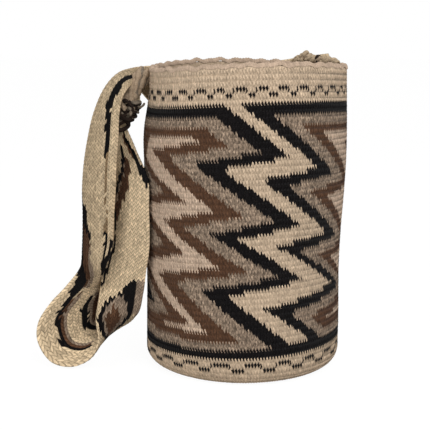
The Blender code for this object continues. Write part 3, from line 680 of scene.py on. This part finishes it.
def make_strap(frames, material):
    """The woven band: lengthwise ribs, each a line of small slanted stitches."""
    total = frames[0][-1]
    stitches = int(total / STRAP_STITCH)
    rings = 3 * stitches + 1
    columns = 2 * STRAP_RIBS + 1
    face_u = np.linspace(-1, 1, columns)
    u = np.concatenate([face_u, [1.03], face_u[::-1], [-1.03]])
    side = np.concatenate([np.full(columns, -1.0), [0.0], np.full(columns, 1.0), [0.0]])
    crown = np.concatenate([np.arange(columns) % 2, [0], np.arange(columns) % 2, [0]])
    ring_s = np.linspace(0, total, rings)
    ends = np.clip(np.minimum(ring_s, total - ring_s) / 0.008, 0, 1)
    slant = np.array(STRAP_SLANT)[np.arange(columns) % 4]
    slant = np.concatenate([slant, [slant[-1]], slant[::-1], [slant[0]]])
    s = ring_s[:, None] + STRAP_STITCH * slant[None, :] * ends[:, None]
    station, middle, half, normal, bulge, thick = at_length(frames, np.minimum(s, total))
    phase = 2 * math.pi * ring_s[:, None] / STRAP_STITCH
    relief = np.where(crown == 1, *STRAP_RELIEF)[None, :]
    relief = relief + STRAP_STITCH_RELIEF * np.cos(phase) * (crown == 1)[None, :]
    lift = thick / 2 * (1 - 0.35 * u ** 4)[None, :] + relief
    offset = bulge * (1 - u * u)[None, :] + side[None, :] * lift
    points = middle + half * u[None, :, None] + normal * offset[..., None]
    faces = grid_faces(rings, len(u), True)
    next_u = np.roll(u, -1)
    mid_u = (u + next_u) / 2
    ring_t = np.interp((ring_s[:-1] + ring_s[1:]) / 2, frames[0], frames[1])
    rib = np.floor((mid_u + 1) / 2 * STRAP_RIBS)
    rib_u = np.clip((rib + 0.5) / STRAP_RIBS * 2 - 1, -1, 1)
    stitch_of_ring = np.arange(rings - 1) // 3
    stitch_t = ring_t[np.clip(stitch_of_ring * 3 + 1, 0, rings - 2)]
    ragged = rng.normal(0, 1, (2, stitches + 1, STRAP_RIBS + 2))
    rib_index = np.clip(rib.astype(int), 0, STRAP_RIBS + 1)
    across_shift, along_shift = ragged[:, stitch_of_ring[:, None], rib_index[None, :]]
    wools = strap_wools(stitch_t[:, None] + STRAP_RAGGED[1] * along_shift,
                        rib_u[None, :] + STRAP_RAGGED[0] * across_shift)
    palette, fleck = wool_arrays(STRAP_WOOLS)
    shade = 1 + rng.normal(0, 0.15, (stitches + 1, STRAP_RIBS + 2))
    lightness = shade[stitch_of_ring[:, None], rib_index[None, :]]
    colours = palette[wools] * lightness[..., None]
    # Painted shade: a dark gap at the start of each stitch, and each rib lighter on one side and darker on
    # the other
    colours = colours * np.array(STRAP_STITCH_PAINTED_SHADE)[np.arange(rings - 1) % 3][:, None, None]
    colours = colours * np.where(crown == 1, *STRAP_RIB_SIDE_PAINTED_SHADE)[None, :, None]
    caps = []
    for start, order in ((0, 1), ((rings - 1) * len(u), -1)):
        for i in range(columns - 1):
            above = start + 2 * columns - i
            caps.append((start + i, above, above - 1, start + i + 1)[::order])
    all_faces = np.concatenate([faces, np.array(caps)])
    all_colours = np.concatenate([colours.reshape(-1, 3),
                                  np.tile(WOOL_COLOURS["strap_cream"], (len(caps), 1))])
    all_flecks = np.concatenate([fleck[wools].ravel(), np.full(len(caps), 0.14)])
    piece = add_piece("strap_band", points, all_faces, all_colours, all_flecks, material)
    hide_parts("strap")


def tube(path, radii, sides):
    """A tube along a path of points, as (points, faces). Its radii close its ends."""
    path = np.asarray(path, float)
    along = np.gradient(path, axis=0)
    along /= np.linalg.norm(along, axis=1)[:, None]
    across = np.zeros_like(path)
    guide = np.array([0.0, 0.0, 1.0]) if abs(along[0][2]) < 0.9 else np.array([1.0, 0.0, 0.0])
    for i, direction in enumerate(along):
        guide = guide - direction * guide.dot(direction)
        guide /= np.linalg.norm(guide)
        across[i] = guide
    other = np.cross(along, across)
    angle = np.linspace(0, 2 * math.pi, sides, endpoint=False)
    points = (path[:, None] + np.asarray(radii)[:, None, None]
              * (across[:, None] * np.cos(angle)[None, :, None]
                 + other[:, None] * np.sin(angle)[None, :, None]))
    return points.reshape(-1, 3), grid_faces(len(path), sides, True)


def joined_tubes(tubes):
    """Several (points, faces, wool) tubes as one set of arrays."""
    points, faces, colours, flecks, count = [], [], [], [], 0
    for tube_points, tube_faces, wool in tubes:
        points.append(tube_points)
        faces.append(tube_faces + count)
        count += len(tube_points)
        shade = 1 + rng.normal(0, 0.06, len(tube_faces))
        colours.append(WOOL_COLOURS[wool][None, :] * shade[:, None])
        flecks.append(np.full(len(tube_faces), WOOL_FLECKS[wool]))
    return np.concatenate(points), np.concatenate(faces), np.concatenate(colours), np.concatenate(flecks)


def tapered(count, radius):
    """Radii of a tube that closes at both ends."""
    share = np.linspace(0, 1, count)
    return radius * np.clip(np.minimum(share, 1 - share) * 12, 0.05, 1) ** 0.5


def loop_round(centre, first, second, radii, count=23, wobble=0.0):
    """A closed loop of points round a centre, in the plane of two directions."""
    turn = np.linspace(0, 2 * math.pi, count)
    size = 1 + wobble * np.sin(3 * turn + rng.uniform(0, 6))
    return centre + (first * (radii[0] * np.cos(turn) * size)[:, None]
                     + second * (radii[1] * np.sin(turn) * size)[:, None])


def make_left_lashing(frames, material):
    """Yarn wound round the strap's gathered end, the knots that join it to the rim, and its loose tail."""
    total = frames[0][-1]
    tubes = []
    for wrap in range(LEFT_WRAPS):
        share = (wrap + 0.5) / LEFT_WRAPS
        s = (LASHING_START + (LASHING_END - LASHING_START) * share) * total
        turn = np.linspace(0, 2 * math.pi, 27)
        tilt = rng.normal(0, 0.0030)
        place = np.clip(s + tilt * np.cos(turn + rng.uniform(0, 6)) + 0.0020 * turn / (2 * math.pi), 0, total)
        _, middle, half, normal, _, thick = at_length(frames, place)
        swell = 0.0008 * math.sin(math.pi * share) + rng.normal(0, 0.0006)
        wide = np.linalg.norm(half, axis=1) + 0.0012 + swell
        deep = thick * 0.625 + 0.0022 + swell
        unit = half / np.linalg.norm(half, axis=1)[:, None]
        path = middle + unit * (wide * np.cos(turn))[:, None] + normal * (deep * np.sin(turn))[:, None]
        wool = ("lashing_grey", "lashing_dark", "lashing_dark")[wrap % 3]
        tubes.append((*tube(path, tapered(len(path), YARN + rng.normal(0, 0.0002)), TUBE_SIDES), wool))
    spine = [np.array(point) / 1000 for point in LEFT_SPINE]
    t = np.linspace(0, len(spine) - 1, 60)
    middle = np.array([curve_through(spine, place) for place in t])
    along = np.gradient(middle, axis=0)
    along /= np.linalg.norm(along, axis=1)[:, None]
    out = np.cross(along, [0.0, 0.0, 1.0])
    out /= np.linalg.norm(out, axis=1)[:, None]
    up = np.cross(out, along)
    for strand, (reach, thickness, wool) in enumerate(LEFT_STRANDS):
        turn = strand * 2 * math.pi / len(LEFT_STRANDS) + 1.1 * t + rng.uniform(-0.3, 0.3)
        wave = reach / 1000 * (1 + 0.25 * np.sin(2.1 * t + strand))
        path = middle + out * (wave * np.cos(turn))[:, None] + up * (wave * np.sin(turn))[:, None]
        lumps = 1 + 0.16 * np.sin(7.3 * t + 1.7 * strand) + 0.10 * np.sin(13.1 * t + 0.6 * strand)
        tubes.append((*tube(path, tapered(len(path), thickness / 1000) * lumps, TUBE_SIDES), wool))
    for centre, reach, wool in LEFT_KNOTS:
        axis = rng.normal(0, 1, 3)
        axis /= np.linalg.norm(axis)
        first = np.cross(axis, [0.3, 0.5, 0.8])
        first /= np.linalg.norm(first)
        path = loop_round(np.array(centre) / 1000, first, np.cross(axis, first), (reach / 1000, reach / 1400),
                          wobble=0.15)
        tubes.append((*tube(path, tapered(len(path), YARN), TUBE_SIDES), wool))
    tail = [np.array(point) / 1000 for point in TAIL]
    path = np.array([curve_through(tail, place) for place in np.linspace(0, len(tail) - 1, 24)])
    tubes.append((*tube(path, tapered(len(path), TAIL_RADIUS), 6), "lashing_grey"))
    piece = add_piece("lashing_left", *joined_tubes(tubes), material)
    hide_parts("left_strap_lashing")


def make_right_lashing(material):
    """The whipped yarn that holds the strap's other end on the rim: a twisted roll with knots along it."""
    count = 90
    share = np.linspace(0, 1, count)
    angles = np.radians(STITCH_ANGLES[0] + (STITCH_ANGLES[1] - STITCH_ANGLES[0]) * share)
    radius = wall_radius(angles, HEIGHT) - STITCH_INSET
    envelope = np.interp(share, *np.array(RIGHT_ENVELOPE).T)
    height = STITCH_HEIGHT - 0.005 * (1 - envelope) + lean(angles, HEIGHT)
    middle = np.stack([radius * np.sin(angles), -radius * np.cos(angles), height], axis=1)
    along = np.gradient(middle, axis=0)
    along /= np.linalg.norm(along, axis=1)[:, None]
    up = np.array([0, 0, 1.0])
    out = np.cross(along, up)
    tubes = []
    uneven = envelope * (1 + 0.20 * np.sin(share * 19 + 0.5) + 0.15 * np.sin(share * 41))
    for strand, wool in enumerate(("stitch_beige", "lashing_beige", "stitch_beige")):
        turn = share * 2 * math.pi * 3.5 + strand * 2 * math.pi / 3
        path = middle + out * (ROLL_REACH[0] * np.cos(turn) * uneven)[:, None]
        path = path + up * (ROLL_REACH[1] * np.sin(turn) * uneven)[:, None]
        tubes.append((*tube(path, tapered(count, ROLL_YARN) * (0.85 + 0.15 * uneven), TUBE_SIDES), wool))
    for place, reach, wool in RIGHT_KNOTS:
        i = round(place * (count - 1))
        path = loop_round(middle[i] + up * 0.0006, out[i], up + along[i] * rng.normal(0, 0.4),
                          (reach / 1000, reach / 1100),
                          wobble=0.1)
        tubes.append((*tube(path, tapered(len(path), KNOT_YARN), TUBE_SIDES), wool))
    piece = add_piece("lashing_right", *joined_tubes(tubes), material)
    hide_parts("right_strap_lashing")


def add_light(name, place, size, power):
    """A round lamp that faces LAMP_TARGET."""
    data = bpy.data.lights.new(name, "AREA")
    data.shape = "DISK"
    data.size = size
    data.energy = power
    lamp = bpy.data.objects.new(name, data)
    lamp.location = place
    lamp.rotation_euler = (Vector(LAMP_TARGET) - Vector(place)).to_track_quat("-Z", "Y").to_euler()
    bpy.context.scene.collection.objects.link(lamp)


def camera_sees(nodes, links):
    """1 for rays that come from the camera or by way of a mirror or clear piece, and 0 for all others."""
    path = nodes.new("ShaderNodeLightPath")
    seen = nodes.new("ShaderNodeMath")
    seen.operation = "MAXIMUM"
    links.new(path.outputs["Is Camera Ray"], seen.inputs[0])
    glossy = nodes.new("ShaderNodeMath")
    glossy.operation = "MAXIMUM"
    links.new(path.outputs["Is Glossy Ray"], glossy.inputs[0])
    links.new(path.outputs["Is Transmission Ray"], glossy.inputs[1])
    links.new(glossy.outputs["Value"], seen.inputs[1])
    return seen.outputs["Value"]


def make_studio():
    """White surroundings, a floor that looks white and takes soft shadows, and two lamps."""
    scene = bpy.context.scene
    scene.view_settings.view_transform = "Standard"
    world = bpy.data.worlds.new("studio")
    scene.world = world
    world.use_nodes = True
    nodes, links = world.node_tree.nodes, world.node_tree.links
    plain = nodes["Background"]
    plain.inputs["Color"].default_value = (1, 1, 1, 1)
    plain.inputs["Strength"].default_value = SKY_STRENGTH
    white = nodes.new("ShaderNodeBackground")
    white.inputs["Color"].default_value = (1, 1, 1, 1)
    white.inputs["Strength"].default_value = 1.0
    mix = nodes.new("ShaderNodeMixShader")
    links.new(camera_sees(nodes, links), mix.inputs["Fac"])
    links.new(plain.outputs["Background"], mix.inputs[1])
    links.new(white.outputs["Background"], mix.inputs[2])
    links.new(mix.outputs["Shader"], nodes["World Output"].inputs["Surface"])

    mesh = bpy.data.meshes.new("floor")
    corners = [(x * FLOOR_REACH, y * FLOOR_REACH, 0) for x, y in ((-1, -1), (1, -1), (1, 1), (-1, 1))]
    mesh.from_pydata(corners, [], [(0, 1, 2, 3)])
    floor = bpy.data.objects.new("floor", mesh)
    floor.location.z = -FLOOR_GAP
    scene.collection.objects.link(floor)
    material = bpy.data.materials.new("floor_white")
    material.use_nodes = True
    nodes, links = material.node_tree.nodes, material.node_tree.links
    shader = nodes["Principled BSDF"]
    shader.inputs["Base Color"].default_value = FLOOR_COLOUR
    shader.inputs["Roughness"].default_value = 1.0
    shader.inputs["Specular IOR Level"].default_value = 0.0
    glow = nodes.new("ShaderNodeEmission")
    glow.inputs["Strength"].default_value = FLOOR_GLOW
    share = nodes.new("ShaderNodeMath")
    share.operation = "MULTIPLY"
    share.inputs[1].default_value = FLOOR_GLOW_SHARE
    links.new(camera_sees(nodes, links), share.inputs[0])
    mix = nodes.new("ShaderNodeMixShader")
    links.new(share.outputs["Value"], mix.inputs["Fac"])
    links.new(shader.outputs["BSDF"], mix.inputs[1])
    links.new(glow.outputs["Emission"], mix.inputs[2])
    links.new(mix.outputs["Shader"], nodes["Material Output"].inputs["Surface"])
    mesh.materials.append(material)

    for lamp in LAMPS:
        add_light(*lamp)


def make_camera():
    """The camera that the photo's outline and base curve were fitted with."""
    data = bpy.data.cameras.new("camera")
    data.sensor_width = SENSOR
    data.lens = SENSOR * FOCAL_PIXELS / PICTURE_PIXELS
    camera = bpy.data.objects.new("camera", data)
    camera.location = CAMERA_PLACE
    camera.rotation_euler = (math.radians(90 - CAMERA_TILT), 0, math.atan(CAMERA_SHIFT_PIXELS / FOCAL_PIXELS))
    bpy.context.scene.collection.objects.link(camera)
    bpy.context.scene.camera = camera


def main():
    """Makes every piece, the studio and the camera."""
    make_camera()
    bag, band, yarn = (wool_material(*values) for values in MATERIALS)
    for make in (make_wall, make_inside, make_rim, make_base):
        make(bag)
    frames = strap_frames()
    make_strap(frames, band)
    make_left_lashing(frames, yarn)
    make_right_lashing(yarn)
    make_studio()


main()
bpy.context.view_layer.update()
